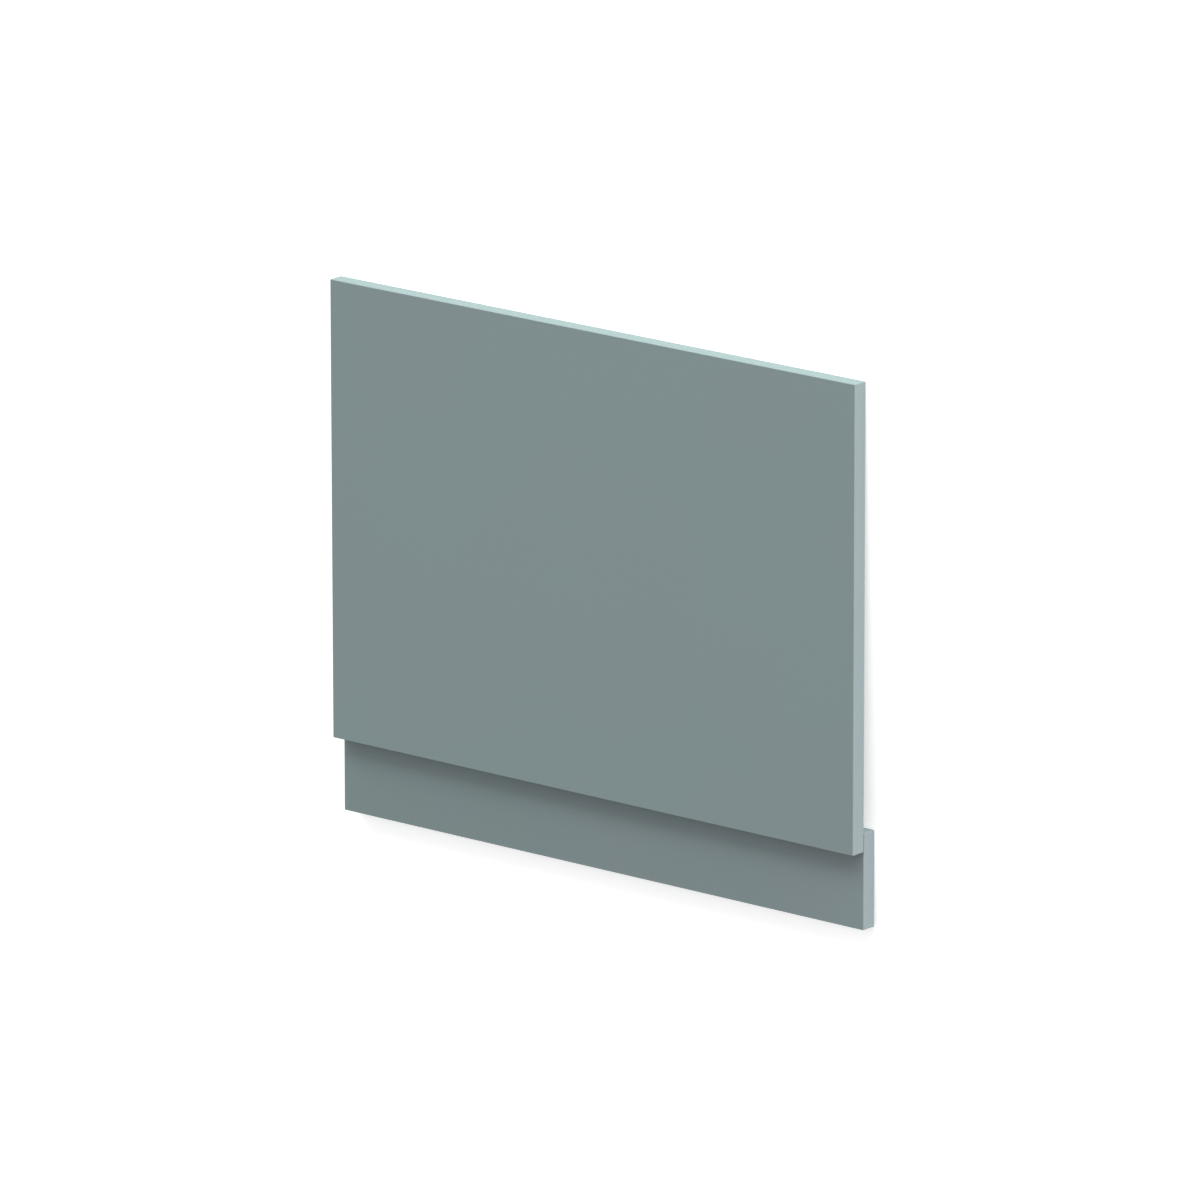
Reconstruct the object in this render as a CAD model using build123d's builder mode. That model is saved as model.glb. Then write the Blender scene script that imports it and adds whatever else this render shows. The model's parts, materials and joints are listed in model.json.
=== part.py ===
from build123d import *
from math import atan2, cos, radians, sin, tan
import os

# Bath end panel: a flat finished board with a plinth board screwed behind its lower edge.
# Millimetres. The panel lies on a level floor, front face up, as it rests when nothing holds it:
# X runs along its width, Y towards its top edge, Z is up.

# Boards
width = 700.0
panel_height = 500.0
panel_thickness = 18.0
plinth_height = 104.0
plinth_thickness = 18.0
plinth_overlap = 20.0
arris_radius = 0.5

# Countersunk wood screws that hold the plinth, in a row along the middle of the overlap
screw_count = 4
screw_end_distance = 50.0
screw_diameter = 3.5
screw_core_diameter = 2.4
screw_head_diameter = 7.0
screw_head_rim = 0.3
screw_point_length = 4.0
screw_cover = 5.5
head_angle = 90.0

# Fits of the screws in the boards
screw_sink = 0.5
screw_hole_clearance = 0.25
core_clearance = 0.05
head_clearance = 0.05
pilot_run = 1.0

# On the floor the panel stands on two back arrises: the plinth's upper one and its own top one
lean = atan2(plinth_thickness, panel_height - plinth_overlap)
up_the_panel = Vector(0, cos(lean), -sin(lean))
out_of_the_front = Vector(0, sin(lean), cos(lean))


def row_point(up, out):
    """The point of the row frame, before it is centred, that lies up and out from the panel's lower edge."""
    return up_the_panel * up + out_of_the_front * out


# The two arrises that set the box's ends and the one that touches the floor, by the centres of their rounding
plinth_back = -(panel_thickness + plinth_thickness)
low_end = row_point(plinth_overlap - plinth_height + arris_radius, plinth_back + arris_radius)
high_end = row_point(panel_height - arris_radius, -arris_radius)
floor_line = row_point(plinth_overlap - arris_radius, plinth_back + arris_radius)
lower_edge = Vector(0, -(low_end.Y + high_end.Y) / 2, arris_radius - floor_line.Z)

# Board planes: local X is the row's X, local Y runs up the panel, local Z comes out of its front
front_plane = Plane(origin=lower_edge, x_dir=(1, 0, 0), z_dir=out_of_the_front)
joint_plane = front_plane.offset(-panel_thickness)
back_plane = front_plane.offset(plinth_back)

# The screws' depths are counted from their heads, which are sunk below the plinth's back
screw_spacing = (width - 2 * screw_end_distance) / (screw_count - 1)
screw_bite = panel_thickness - screw_cover
screw_length = plinth_thickness + screw_bite - screw_sink
head_radius = screw_head_diameter / 2
shank_radius = screw_diameter / 2
core_radius = screw_core_diameter / 2
cone_slope = radians(head_angle / 2)
cone_height = (head_radius - shank_radius) / tan(cone_slope)
countersink_radius = (
    head_radius + (screw_sink + screw_head_rim) * tan(cone_slope) + head_clearance / cos(cone_slope)
)


def screw_row(face_plane):
    """The middle of the row of screws on a board's back face, facing out of the back."""
    middle = face_plane.from_local_coords((0, plinth_overlap / 2, 0))
    return Plane(middle, x_dir=(1, 0, 0), z_dir=-out_of_the_front)


with BuildPart() as end_panel:
    with BuildSketch(joint_plane):
        with Locations((0, panel_height / 2)):
            Rectangle(width, panel_height)
    extrude(amount=panel_thickness)
    fillet(end_panel.edges(), radius=arris_radius)
    # Blind pilot holes in the back for the screws' threads
    with Locations(screw_row(joint_plane)):
        with GridLocations(screw_spacing, screw_spacing, screw_count, 1):
            Hole(core_radius + core_clearance, depth=screw_bite + pilot_run)
end_panel.part.label = "end_panel"

with BuildPart() as plinth:
    with BuildSketch(back_plane):
        with Locations((0, plinth_overlap - plinth_height / 2)):
            Rectangle(width, plinth_height)
    extrude(amount=plinth_thickness)
    fillet(plinth.edges(), radius=arris_radius)
    with Locations(screw_row(back_plane)):
        with GridLocations(screw_spacing, screw_spacing, screw_count, 1):
            CounterSinkHole(
                shank_radius + screw_hole_clearance,
                counter_sink_radius=countersink_radius,
                counter_sink_angle=head_angle,
            )
plinth.part.label = "plinth"

os.makedirs("parts", exist_ok=True)
export_step(end_panel.part, "parts/end_panel.step")
export_step(plinth.part, "parts/plinth.step")

# Each screw is turned about its own axis: head at the plinth's back, point inside the panel
for number in range(1, screw_count + 1):
    across = (number - (screw_count + 1) / 2) * screw_spacing
    head_centre = screw_row(back_plane).from_local_coords((across, 0, -screw_sink))
    section_plane = Plane(head_centre, x_dir=(1, 0, 0), z_dir=-up_the_panel)
    with BuildPart() as screw:
        with BuildSketch(section_plane):
            with BuildLine():
                Polyline(
                    (0, 0),
                    (head_radius, 0),
                    (head_radius, screw_head_rim),
                    (shank_radius, screw_head_rim + cone_height),
                    (shank_radius, plinth_thickness - screw_sink),
                    (core_radius, plinth_thickness - screw_sink),
                    (core_radius, screw_length - screw_point_length),
                    (0, screw_length),
                    close=True,
                )
            make_face()
        revolve(axis=Axis(head_centre, out_of_the_front))
    screw.part.label = f"plinth_screw_{number}"
    export_step(screw.part, f"parts/plinth_screw_{number}.step")
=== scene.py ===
import json
from math import atan2, cos, radians, sin, tau

import bpy
import numpy as np
from mathutils import Matrix, Vector


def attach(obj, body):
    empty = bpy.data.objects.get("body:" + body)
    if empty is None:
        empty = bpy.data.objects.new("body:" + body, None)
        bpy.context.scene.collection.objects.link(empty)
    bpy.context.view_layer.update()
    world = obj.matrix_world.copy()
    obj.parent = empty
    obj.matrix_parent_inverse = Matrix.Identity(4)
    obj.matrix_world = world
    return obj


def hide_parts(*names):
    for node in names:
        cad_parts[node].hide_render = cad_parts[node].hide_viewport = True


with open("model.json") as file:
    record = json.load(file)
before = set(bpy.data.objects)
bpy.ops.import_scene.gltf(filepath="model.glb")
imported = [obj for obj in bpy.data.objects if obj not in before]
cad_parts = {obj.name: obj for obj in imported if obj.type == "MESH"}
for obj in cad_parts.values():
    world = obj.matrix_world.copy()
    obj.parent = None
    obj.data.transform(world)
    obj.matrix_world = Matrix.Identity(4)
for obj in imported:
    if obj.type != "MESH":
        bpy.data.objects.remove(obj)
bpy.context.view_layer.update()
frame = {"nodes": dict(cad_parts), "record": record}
MOUNTS = {mount["name"]: mount for mount in frame["record"]["mounts"]}


def mount_point(name):
    """The place of one of the interfaces that the frame states."""
    return Vector(MOUNTS[name]["pos_m"])


def mount_axis(name):
    """The direction that an interface faces."""
    return Vector(MOUNTS[name]["axis"]).normalized()


# The panel's own directions and places
ACROSS = mount_axis("right_edge")
UP_PANEL = mount_axis("panel_top_edge")
OUT_FRONT = -mount_axis("plinth_back")
BOARD_TURN = Matrix((ACROSS, UP_PANEL, OUT_FRONT)).transposed()
PANEL_MIDDLE = (mount_point("left_edge") + mount_point("right_edge")) / 2
LOWER_EDGE = PANEL_MIDDLE * 2 - mount_point("panel_top_edge")
JOINT_DEPTH = (mount_point("panel_back") - mount_point("plinth_back")).dot(OUT_FRONT)


def screw_axis(node):
    """The middle of a screw's head, and its length. Its point is the vertex that lies furthest forwards."""
    mesh = frame["nodes"][node].data
    points = np.empty(len(mesh.vertices) * 3)
    mesh.vertices.foreach_get("co", points)
    points = points.reshape(-1, 3)
    forwards = points @ np.array(OUT_FRONT)
    length = float(np.ptp(forwards))
    return Vector(points[forwards.argmax()]) - OUT_FRONT * length, length


# The row of screws on the plinth's back. It runs along the middle of the boards' lap.
SCREWS = sorted(name for name in frame["nodes"] if name.startswith("plinth_screw_"))
HEADS = [screw_axis(node)[0] for node in SCREWS]
SCREW_SPACING = (HEADS[1] - HEADS[0]).length
HEADS_MIDDLE = sum(HEADS, Vector()) / len(HEADS)
ROW_MIDDLE = HEADS_MIDDLE - OUT_FRONT * (HEADS_MIDDLE - mount_point("plinth_back")).dot(OUT_FRONT)
HALF_LAP = (ROW_MIDDLE - LOWER_EDGE).dot(UP_PANEL)

# Satin lacquer: two close shades, linear, that drift into each other, and its sprayed skin
LACQUER_GREEN = (0.180, 0.228, 0.2345, 1)
LACQUER_GREY = (0.186, 0.2265, 0.2385, 1)
SHADE_DRIFT = {"Scale": 5.0, "Detail": 2.0}
MOTTLE = {"Scale": 850.0, "Detail": 1.0}
MOTTLE_DEPTH = 0.025
ORANGE_PEEL = {"Scale": 420.0, "Detail": 2.0}
PEEL_HEIGHT = 0.00002
LACQUER_ROUGHNESS = (0.46, 0.54)
LACQUER_SPECULAR = 0.3

# Painted shade along the closed joint between the boards, in place of the shade in its hairline gap, in
# view at their ends
JOINT_SHADE_COLOUR = (0.03, 0.035, 0.035, 1)
JOINT_SHADE_HALF_WIDTH = 0.0006

# Bare fibreboard, where the plinth is bored and countersunk for its screws
CORE_LIGHT = (0.40, 0.27, 0.15, 1)
CORE_DARK = (0.24, 0.15, 0.08, 1)
CORE_FIBRE = {"Scale": 1400.0, "Detail": 3.0}
CORE_ROUGHNESS = 0.9
HOLE_RADIUS = 0.002
SINK_RADIUS = 0.00437
BORE_TOLERANCE = 0.00004

# Zinc plating
ZINC_BRIGHT = (0.62, 0.63, 0.64, 1)
ZINC_DULL = (0.50, 0.51, 0.53, 1)
ZINC_SPANGLE = {"Scale": 3600.0, "Detail": 2.0}
ZINC_ROUGHNESS = (0.26, 0.44)

# Countersunk chipboard screws with a cross recess
HEAD_RADIUS = 0.0035
HEAD_RIM = 0.0003
CORE_RADIUS = 0.0012
POINT_LENGTH = 0.004
THREAD_RADIUS = 0.00175
THREAD_PITCH = 0.0016
THREAD_HALF_WIDTH = 0.00035
THREAD_START = 0.0036
THREAD_RUN_IN = 0.0012
RECESS_REACH = 0.002
RECESS_HALF_WIDTH = 0.00036
RECESS_DRAFT = 0.00014
RECESS_DEPTH = 0.0019
TURN_FROM_SCREW_TO_SCREW = 2.4

# The fineness of the screws' meshes
ARM_END_COLUMNS = 5
ARM_SIDE_COLUMNS = 8
RECESS_ROWS = 10
FLAT_ROWS = 6
CONE_ROWS = 8
ROW_STEP = 0.00016
SHARP_ANGLE = radians(35)

# Camera, placed round the panel's front face as the photograph's was
IMAGE_PIXELS = 1200
FOCAL_PIXELS = 13378.6
SENSOR_MM = 36.0
VIEW_TO_THE_RIGHT = radians(39.25)
VIEW_TOWARDS_TOP = radians(15.495)
VIEW_ROLL = radians(-0.064)
VIEW_DISTANCE = 13.8957
AIM_ACROSS = 0.00878
AIM_UP = -0.03821
AIM_OUT = 0.00134

# Studio: the dome is brighter on the side that the panel's top edge faces
WHITE = (1, 1, 1, 1)
DOME_BEHIND_TOP = 1.196
DOME_BEHIND_FOOT = 0.2
FLOOR_COLOUR = (0.8, 0.8, 0.8, 1)
FLOOR_REACH = 60.0
FLOOR_GLOW = 0.5
LAMP_LENGTH = 16.0
LAMP_DISTANCE = 12.0
LOW_LAMP_HEIGHT = 0.8
TOP_LAMP_WATTS = 838.0
TOP_LAMP_COLOUR = (0.68, 1.262, 1.017)
END_LAMP_TURN = radians(35)
END_LAMP_WATTS = 2190.0
END_LAMP_COLOUR = (1.066, 0.944, 0.989)
SKY_LAMP_WATTS = 837.0
SKY_LAMP_COLOUR = (0.949, 1.068, 0.981)
SKY_LAMP_HEIGHT = 4.2
SKY_LAMP_ELEVATION = radians(30)

# The range that most of a Noise node's pattern lies in
NOISE_RANGE = (0.3, 0.7)

# Places of a Mix node's sockets, whose names are the same for numbers and colours
MIX_NUMBERS = (2, 3)
MIX_COLOURS = (6, 7)
MIX_COLOUR_RESULT = 2


def emptied(owner):
    """The node tree of a material or world, with nothing in it."""
    owner.use_nodes = True
    owner.node_tree.nodes.clear()
    return owner.node_tree


def add(tree, kind, inputs=None, **options):
    """A new node. Its inputs are given by socket name or number, each as a plain value or a socket."""
    node = tree.nodes.new(kind)
    for option, value in options.items():
        setattr(node, option, value)
    for socket, value in (inputs or {}).items():
        if isinstance(value, bpy.types.NodeSocket):
            tree.links.new(value, node.inputs[socket])
        else:
            node.inputs[socket].default_value = value
    return node


def calculate(tree, operation, *values):
    """The result of a Math node on plain values or sockets."""
    return add(tree, "ShaderNodeMath", dict(enumerate(values)), operation=operation).outputs[0]


def noise(tree, place, pattern):
    """A noise pattern of a given detail, whose scale is in lumps a metre."""
    return add(tree, "ShaderNodeTexNoise", {"Vector": place, **pattern}).outputs["Fac"]


def rescale(tree, value, old, new):
    """A value taken from its place in the old range to the same place in the new, and held inside it."""
    sockets = {"Value": value, "From Min": old[0], "From Max": old[1], "To Min": new[0], "To Max": new[1]}
    return add(tree, "ShaderNodeMapRange", sockets).outputs["Result"]


def mix_colours(tree, share, first, second):
    """The first colour where the share is 0 and the second where it is 1."""
    sockets = {0: share, MIX_COLOURS[0]: first, MIX_COLOURS[1]: second}
    return add(tree, "ShaderNodeMix", sockets, data_type="RGBA").outputs[MIX_COLOUR_RESULT]


def mix_numbers(tree, share, first, second):
    """The first number where the share is 0 and the second where it is 1."""
    sockets = {0: share, MIX_NUMBERS[0]: first, MIX_NUMBERS[1]: second}
    return add(tree, "ShaderNodeMix", sockets, data_type="FLOAT").outputs[0]


def shader_group(name, inputs, outputs):
    """A new node group and the sockets of its input node. Inputs and outputs are given by name and kind."""
    group = bpy.data.node_groups.new(name, "ShaderNodeTree")
    for side, sockets in (("INPUT", inputs), ("OUTPUT", outputs)):
        for socket, kind in sockets.items():
            group.interface.new_socket(socket, in_out=side, socket_type=f"NodeSocket{kind}")
    return group, add(group, "NodeGroupInput").outputs


def satin_lacquer_group():
    """Sprayed satin lacquer: a slow drift between two shades, a fine mottle, and an orange-peel skin.

    The mottle lightens and darkens the shade by up to half its own depth.
    """
    group, given = shader_group(
        "satin_lacquer",
        {"Vector": "Vector", "Shade 1": "Color", "Shade 2": "Color", "Mottle": "Float"},
        {"Color": "Color", "Roughness": "Float", "Height": "Float"},
    )
    drift = rescale(group, noise(group, given["Vector"], SHADE_DRIFT), NOISE_RANGE, (0, 1))
    shade = mix_colours(group, drift, given["Shade 1"], given["Shade 2"])
    mottle = rescale(group, noise(group, given["Vector"], MOTTLE), NOISE_RANGE, (-0.5, 0.5))
    strength = calculate(group, "MULTIPLY_ADD", mottle, given["Mottle"], 1.0)
    colour = add(group, "ShaderNodeVectorMath", {0: shade, "Scale": strength}, operation="SCALE").outputs[0]
    peel = noise(group, given["Vector"], ORANGE_PEEL)
    roughness = rescale(group, peel, NOISE_RANGE, LACQUER_ROUGHNESS)
    add(group, "NodeGroupOutput", {"Color": colour, "Roughness": roughness, "Height": peel})
    return group


def joint_shade_group():
    """A mask of painted shade along the closed joint between two lapped boards, in a place counted from the
    lap's middle.

    It fades out on both sides of the joint's depth, and ends where the lap does.
    """
    group, given = shader_group(
        "painted_joint_shade",
        {"Vector": "Vector", "Depth": "Float", "Half Lap": "Float"},
        {"Mask": "Float"},
    )
    parts = add(group, "ShaderNodeSeparateXYZ", {0: given["Vector"]}).outputs
    off_joint = calculate(group, "ABSOLUTE", calculate(group, "SUBTRACT", parts["Z"], given["Depth"]))
    line = rescale(group, off_joint, (0, JOINT_SHADE_HALF_WIDTH), (1, 0))
    in_lap = calculate(group, "LESS_THAN", calculate(group, "ABSOLUTE", parts["Y"]), given["Half Lap"])
    add(group, "NodeGroupOutput", {"Mask": calculate(group, "MULTIPLY", line, in_lap)})
    return group


def board_place(tree):
    """A place on the boards in the panel's own directions, counted from the middle of the row of screws."""
    sockets = {
        "Vector": add(tree, "ShaderNodeTexCoord").outputs["Object"],
        "Location": ROW_MIDDLE,
        "Rotation": BOARD_TURN.to_euler(),
    }
    return add(tree, "ShaderNodeMapping", sockets, vector_type="TEXTURE").outputs[0]


def bored_mask(tree, place):
    """A mask that is 1 in the holes of the row: inside a cone that narrows forwards to a cylinder.

    The distance across is taken from the nearest hole, because the holes are one spacing apart and
    lie half a spacing off the row's middle.
    """
    parts = add(tree, "ShaderNodeSeparateXYZ", {0: place}).outputs
    in_spacing = calculate(tree, "WRAP", parts["X"], SCREW_SPACING, 0.0)
    past_hole = calculate(tree, "SUBTRACT", in_spacing, SCREW_SPACING / 2)
    flat = add(tree, "ShaderNodeCombineXYZ", {"X": past_hole, "Y": parts["Y"]}).outputs[0]
    radius = add(tree, "ShaderNodeVectorMath", {0: flat}, operation="LENGTH").outputs["Value"]
    cone = calculate(tree, "SUBTRACT", SINK_RADIUS + BORE_TOLERANCE, parts["Z"])
    wall = calculate(tree, "MAXIMUM", cone, HOLE_RADIUS + BORE_TOLERANCE)
    return calculate(tree, "LESS_THAN", radius, wall)


def board_finish(name, lacquer, joint_shade, bored=False):
    """A board in satin lacquer, with painted shade along the closed joint. The holes of a bored one show
    its bare core.
    """
    material = bpy.data.materials.new(name)
    tree = emptied(material)
    place = board_place(tree)
    sockets = {"Vector": place, "Shade 1": LACQUER_GREEN, "Shade 2": LACQUER_GREY, "Mottle": MOTTLE_DEPTH}
    skin = add(tree, "ShaderNodeGroup", sockets, node_tree=lacquer).outputs
    sockets = {"Vector": place, "Depth": JOINT_DEPTH, "Half Lap": HALF_LAP}
    in_joint_shade = add(tree, "ShaderNodeGroup", sockets, node_tree=joint_shade).outputs["Mask"]
    # Painted shade: the colour darkens along the closed joint, in place of the shade in the hairline gap
    # between the boards
    colour = mix_colours(tree, in_joint_shade, skin["Color"], JOINT_SHADE_COLOUR)
    roughness = skin["Roughness"]
    if bored:
        holes = bored_mask(tree, place)
        fibre = rescale(tree, noise(tree, place, CORE_FIBRE), NOISE_RANGE, (0, 1))
        colour = mix_colours(tree, holes, colour, mix_colours(tree, fibre, CORE_LIGHT, CORE_DARK))
        roughness = mix_numbers(tree, holes, roughness, CORE_ROUGHNESS)
    bump = add(tree, "ShaderNodeBump", {"Distance": PEEL_HEIGHT, "Height": skin["Height"]}).outputs[0]
    sockets = {"Base Color": colour, "Roughness": roughness, "Normal": bump}
    shader = add(tree, "ShaderNodeBsdfPrincipled", {**sockets, "Specular IOR Level": LACQUER_SPECULAR})
    add(tree, "ShaderNodeOutputMaterial", {"Surface": shader.outputs[0]})
    return material


def zinc_plate():
    """Zinc plating with a fine spangle, duller and rougher in places."""
    material = bpy.data.materials.new("zinc_plate")
    tree = emptied(material)
    spangle = noise(tree, add(tree, "ShaderNodeTexCoord").outputs["Object"], ZINC_SPANGLE)
    dullness = rescale(tree, spangle, NOISE_RANGE, (0, 1))
    sockets = {
        "Base Color": mix_colours(tree, dullness, ZINC_BRIGHT, ZINC_DULL),
        "Roughness": rescale(tree, spangle, NOISE_RANGE, ZINC_ROUGHNESS),
        "Metallic": 1.0,
    }
    shader = add(tree, "ShaderNodeBsdfPrincipled", sockets)
    add(tree, "ShaderNodeOutputMaterial", {"Surface": shader.outputs[0]})
    return material


def screw_turns():
    """The turns of a screw's columns, the same in each quarter, with one at each corner of the recess."""
    corner = atan2(RECESS_HALF_WIDTH + RECESS_DRAFT, RECESS_REACH + RECESS_DRAFT)
    arm_end = np.linspace(-corner, corner, ARM_END_COLUMNS, endpoint=False)
    first_side = np.linspace(corner, tau / 8, ARM_SIDE_COLUMNS, endpoint=False)
    second_side = np.linspace(tau / 8, tau / 4 - corner, ARM_SIDE_COLUMNS, endpoint=False)
    quarter = np.concatenate([arm_end, first_side, second_side])
    return (quarter + np.arange(4)[:, None] * tau / 4).ravel()


def cross_outline(turn, margin):
    """The distance from the recess's middle to the outline of its floor, widened by a margin.

    It is the farther one of two crossed bars' outlines. A bar's is its end, the reach over the turn's
    cosine, or its side, the half width over the turn's sine, whichever is nearer.
    """
    reach = RECESS_REACH + margin
    half_width = RECESS_HALF_WIDTH + margin
    cosine = abs(np.cos(turn))
    sine = abs(np.sin(turn))
    first_bar = np.minimum(reach / cosine, half_width / sine)
    second_bar = np.minimum(reach / sine, half_width / cosine)
    return np.maximum(first_bar, second_bar)


def head_rows(turn):
    """The rows of a screw's head out to its rim, as radii and depths: the recess's, then the flat's.

    The recess's rows are its floor's outline, drawn in towards the middle, where the floor is deepest.
    It rises in a parabola along each arm, which would reach the surface at the brim's end. The flat's
    rows go evenly from the recess's brim to the rim.
    """
    brim = cross_outline(turn, RECESS_DRAFT)
    floor = np.linspace(0, 1, RECESS_ROWS + 1)[1:, None] * cross_outline(turn, 0)
    along_arm = floor * np.maximum(abs(np.cos(turn)), abs(np.sin(turn)))
    floor_depth = RECESS_DEPTH * (1 - (along_arm / (RECESS_REACH + RECESS_DRAFT)) ** 2)
    flat = brim + np.linspace(0, 1, FLAT_ROWS + 1)[:, None] * (HEAD_RADIUS - brim)
    return np.concatenate([floor, flat]), np.concatenate([floor_depth, np.zeros_like(flat)])


def shank_rows(length):
    """The rows from under the head's rim to the point, as radii and depths, without the thread.

    The radius falls at 45 degrees to the core's and stays there. The point narrows later, with the thread.
    """
    cone_end = HEAD_RIM + HEAD_RADIUS - CORE_RADIUS
    depths = np.linspace(HEAD_RIM, cone_end, CONE_ROWS + 1)
    cone = np.stack([HEAD_RADIUS + HEAD_RIM - depths, depths])
    depths = np.arange(cone_end + ROW_STEP, length - ROW_STEP / 2, ROW_STEP)
    shank = np.stack([np.full_like(depths, CORE_RADIUS), depths])
    return np.concatenate([cone, shank], axis=1)


def thread_height(turn, depth):
    """A single thread: a triangular ridge where depth over pitch, less the turn, is half a whole number.

    It grows in over the run-in below the head.
    """
    phase = (depth / THREAD_PITCH - turn / tau) % 1
    ridge = np.clip(1 - abs(phase - 0.5) * THREAD_PITCH / THREAD_HALF_WIDTH, 0, 1)
    grown = np.clip((depth - THREAD_START) / THREAD_RUN_IN, 0, 1)
    return (THREAD_RADIUS - CORE_RADIUS) * ridge * grown


def screw_surface(length):
    """The points of a screw along +Z from its head's middle, in rows along it and columns round it.

    Below the head, a point's radius is its row's plus the thread's height, narrowed over the screw's point.
    """
    turn = screw_turns()
    head_radius, head_depth = head_rows(turn)
    radius, depth = shank_rows(length)[:, :, None]
    radius = (radius + thread_height(turn, depth)) * np.clip((length - depth) / POINT_LENGTH, 0, 1)
    radius = np.concatenate([head_radius, radius])
    depth = np.concatenate([head_depth, np.broadcast_to(depth, (len(depth), len(turn)))])
    return np.stack([radius * np.cos(turn), radius * np.sin(turn), depth], axis=-1)


def closed_rows(rows, columns):
    """The faces between neighbouring rows and columns of points, and a fan to a pole at either end.

    They face outwards where the rows follow each other along +Z and the columns turn from +X to +Y.
    """
    here = np.arange(columns)
    beside = (here + 1) % columns
    row = np.arange(rows - 1)[:, None] * columns
    quads = np.stack([row + here, row + beside, row + columns + beside, row + columns + here], axis=-1)
    first_pole = np.full(columns, rows * columns)
    last = (rows - 1) * columns
    first_fan = np.stack([first_pole, beside, here], axis=-1)
    last_fan = np.stack([last + here, last + beside, first_pole + 1], axis=-1)
    return [*quads.reshape(-1, 4).tolist(), *first_fan.tolist(), *last_fan.tolist()]


def threaded_screw(number, node, finish):
    """One plinth screw with recess and thread, where the frame's plain one is, turned on from the last."""
    head, length = screw_axis(node)
    surface = screw_surface(length)
    poles = [(0, 0, RECESS_DEPTH), (0, 0, length)]
    points = np.concatenate([surface.reshape(-1, 3), poles])
    turn = BOARD_TURN @ Matrix.Rotation(number * TURN_FROM_SCREW_TO_SCREW, 3, "Z")
    points = points @ np.array(turn).T + np.array(head)
    mesh = bpy.data.meshes.new(f"threaded_{node}")
    mesh.from_pydata(points.tolist(), [], closed_rows(*surface.shape[:2]))
    mesh.shade_smooth()
    mesh.set_sharp_from_angle(angle=SHARP_ANGLE)
    mesh.materials.append(finish)
    piece = bpy.data.objects.new(f"threaded_{node}", mesh)
    bpy.context.scene.collection.objects.link(piece)
    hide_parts(node)
    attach(piece, "root")


def stage_camera():
    """A long lens that sees the panel as the photograph does, turned with the panel as it lies."""
    back = (
        ACROSS * sin(VIEW_TO_THE_RIGHT) * cos(VIEW_TOWARDS_TOP)
        + OUT_FRONT * cos(VIEW_TO_THE_RIGHT) * cos(VIEW_TOWARDS_TOP)
        + UP_PANEL * sin(VIEW_TOWARDS_TOP)
    )
    level = ACROSS * cos(VIEW_TO_THE_RIGHT) - OUT_FRONT * sin(VIEW_TO_THE_RIGHT)
    upright = back.cross(level)
    right = level * cos(VIEW_ROLL) + upright * sin(VIEW_ROLL)
    up = upright * cos(VIEW_ROLL) - level * sin(VIEW_ROLL)
    aim = PANEL_MIDDLE + ACROSS * AIM_ACROSS + UP_PANEL * AIM_UP + OUT_FRONT * AIM_OUT
    lens = bpy.data.cameras.new("camera")
    lens.sensor_width = SENSOR_MM
    lens.lens = SENSOR_MM * FOCAL_PIXELS / IMAGE_PIXELS
    camera = bpy.data.objects.new("camera", lens)
    turn = Matrix((right, up, back)).transposed().to_4x4()
    camera.matrix_world = Matrix.Translation(aim + back * VIEW_DISTANCE) @ turn
    bpy.context.scene.collection.objects.link(camera)
    bpy.context.scene.camera = camera


def seen_directly(tree):
    """A mask that is 1 for camera, glossy and transmission rays."""
    path = add(tree, "ShaderNodeLightPath").outputs
    seen = calculate(tree, "MAXIMUM", path["Is Camera Ray"], path["Is Glossy Ray"])
    return calculate(tree, "MAXIMUM", seen, path["Is Transmission Ray"])


def stage_world():
    """A dome of light, brighter beyond the panel's top edge than beyond its foot, that is seen as white."""
    world = bpy.data.worlds.new("studio")
    tree = emptied(world)
    direction = add(tree, "ShaderNodeTexCoord").outputs["Generated"]
    towards_top = add(tree, "ShaderNodeSeparateXYZ", {0: direction}).outputs["Y"]
    level = rescale(tree, towards_top, (-1, 1), (DOME_BEHIND_FOOT, DOME_BEHIND_TOP))
    dome = add(tree, "ShaderNodeBackground", {"Color": WHITE, "Strength": level}).outputs[0]
    white = add(tree, "ShaderNodeBackground", {"Color": WHITE}).outputs[0]
    both = add(tree, "ShaderNodeMixShader", {0: seen_directly(tree), 1: dome, 2: white})
    add(tree, "ShaderNodeOutputWorld", {"Surface": both.outputs[0]})
    bpy.context.scene.world = world


def stage_floor():
    """A level pale floor that is seen as white and keeps the panel's soft shadow."""
    mesh = bpy.data.meshes.new("floor")
    corners = np.array([(-1, -1, 0), (1, -1, 0), (1, 1, 0), (-1, 1, 0)]) * FLOOR_REACH / 2
    mesh.from_pydata(corners.tolist(), [], [(0, 1, 2, 3)])
    floor = bpy.data.objects.new("floor", mesh)
    bpy.context.scene.collection.objects.link(floor)
    material = bpy.data.materials.new("floor")
    tree = emptied(material)
    paint = add(tree, "ShaderNodeBsdfDiffuse", {"Color": FLOOR_COLOUR}).outputs[0]
    glow_level = calculate(tree, "MULTIPLY", seen_directly(tree), FLOOR_GLOW)
    glow = add(tree, "ShaderNodeEmission", {"Strength": glow_level}).outputs[0]
    both = add(tree, "ShaderNodeAddShader", {0: paint, 1: glow})
    add(tree, "ShaderNodeOutputMaterial", {"Surface": both.outputs[0]})
    mesh.materials.append(material)


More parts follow.
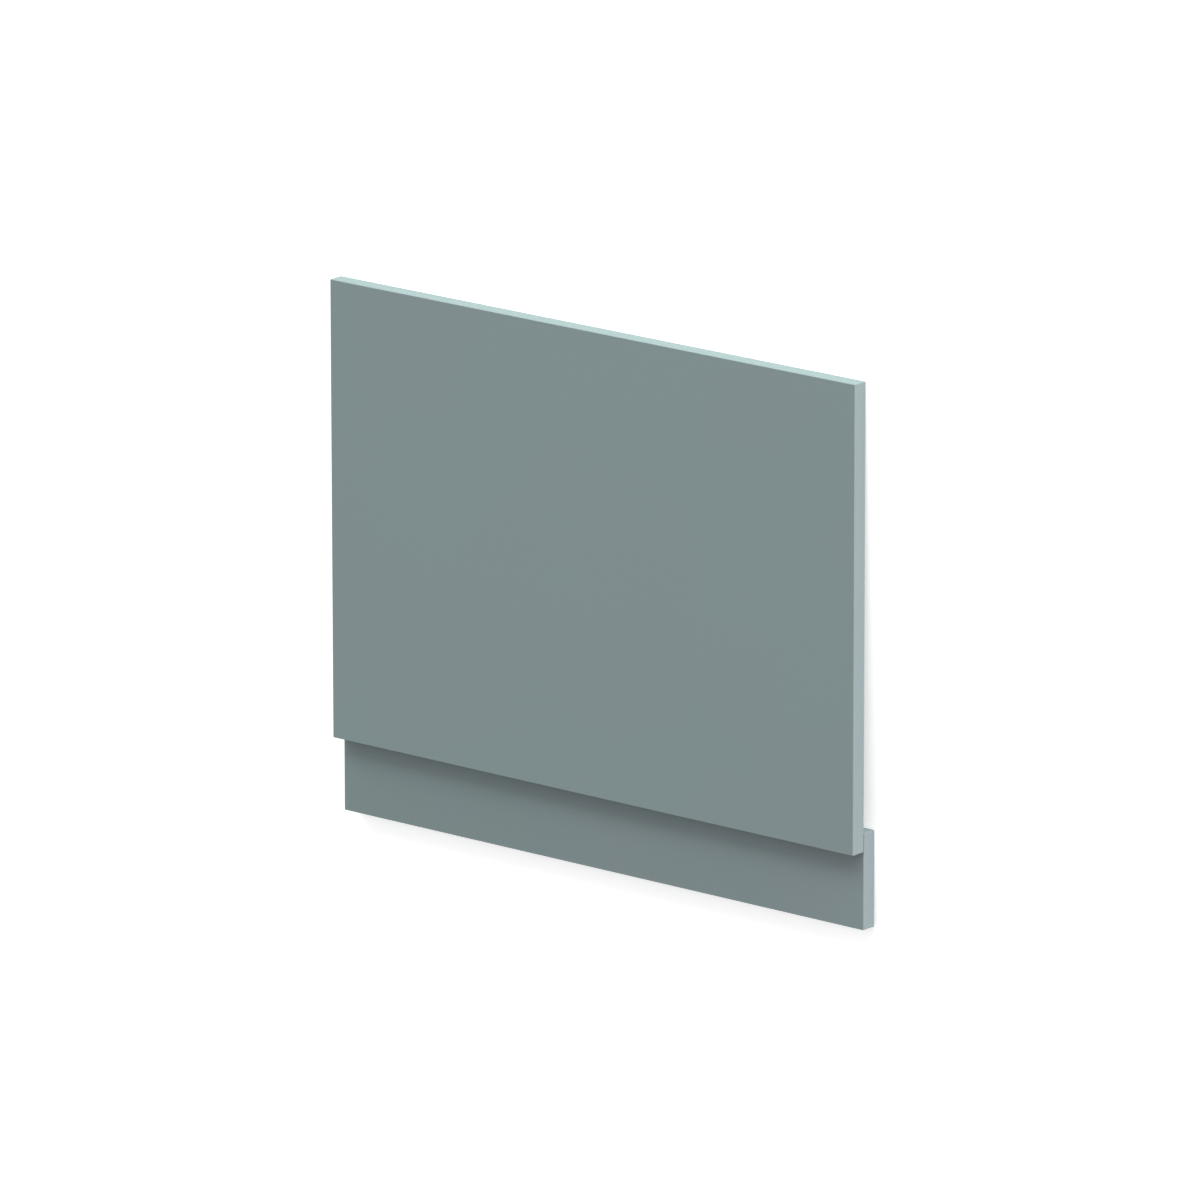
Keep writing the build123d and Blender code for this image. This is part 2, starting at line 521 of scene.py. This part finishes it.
def stage_lamp(name, from_side, elevation, height, watts, colour):
    """A long soft lamp on one side of the panel, level along its length and turned to the panel's middle.

    A low one stands on the floor.
    """
    light = bpy.data.lights.new(name, "AREA")
    light.shape = "RECTANGLE"
    light.size = LAMP_LENGTH
    light.size_y = height
    light.energy = watts
    light.color = colour
    lamp = bpy.data.objects.new(name, light)
    back = from_side * cos(elevation) + Vector((0, 0, sin(elevation)))
    right = Vector((0, 0, 1)).cross(from_side)
    up = back.cross(right)
    middle = back * LAMP_DISTANCE
    middle.z = max(middle.z, height / 2)
    lamp.matrix_world = Matrix.Translation(middle) @ Matrix((right, up, back)).transposed().to_4x4()
    lamp.visible_camera = False
    lamp.visible_glossy = False
    bpy.context.scene.collection.objects.link(lamp)


def stage_lamps():
    """Two low lamps that light the top edge and the right-hand end, and a higher one beyond the top edge.

    The end's is turned towards the top's side, to reach in under the panel to the plinth's upper edge.
    """
    beyond_top = Vector((0, 1, 0))
    beyond_end = Vector((cos(END_LAMP_TURN), sin(END_LAMP_TURN), 0))
    stage_lamp("top_lamp", beyond_top, 0.0, LOW_LAMP_HEIGHT, TOP_LAMP_WATTS, TOP_LAMP_COLOUR)
    stage_lamp("end_lamp", beyond_end, 0.0, LOW_LAMP_HEIGHT, END_LAMP_WATTS, END_LAMP_COLOUR)
    stage_lamp(
        "sky_lamp", beyond_top, SKY_LAMP_ELEVATION, SKY_LAMP_HEIGHT, SKY_LAMP_WATTS, SKY_LAMP_COLOUR
    )


def dress(node, finish):
    """Gives a node of the frame its finished material."""
    for slot in frame["nodes"][node].material_slots:
        slot.material = finish


stage_camera()
stage_world()
stage_floor()
stage_lamps()
bpy.context.scene.view_settings.view_transform = "Standard"

lacquer = satin_lacquer_group()
joint_shade = joint_shade_group()
dress("end_panel", board_finish("panel_lacquer", lacquer, joint_shade))
dress("plinth", board_finish("plinth_lacquer", lacquer, joint_shade, bored=True))
zinc = zinc_plate()
for number, node in enumerate(SCREWS):
    threaded_screw(number, node, zinc)
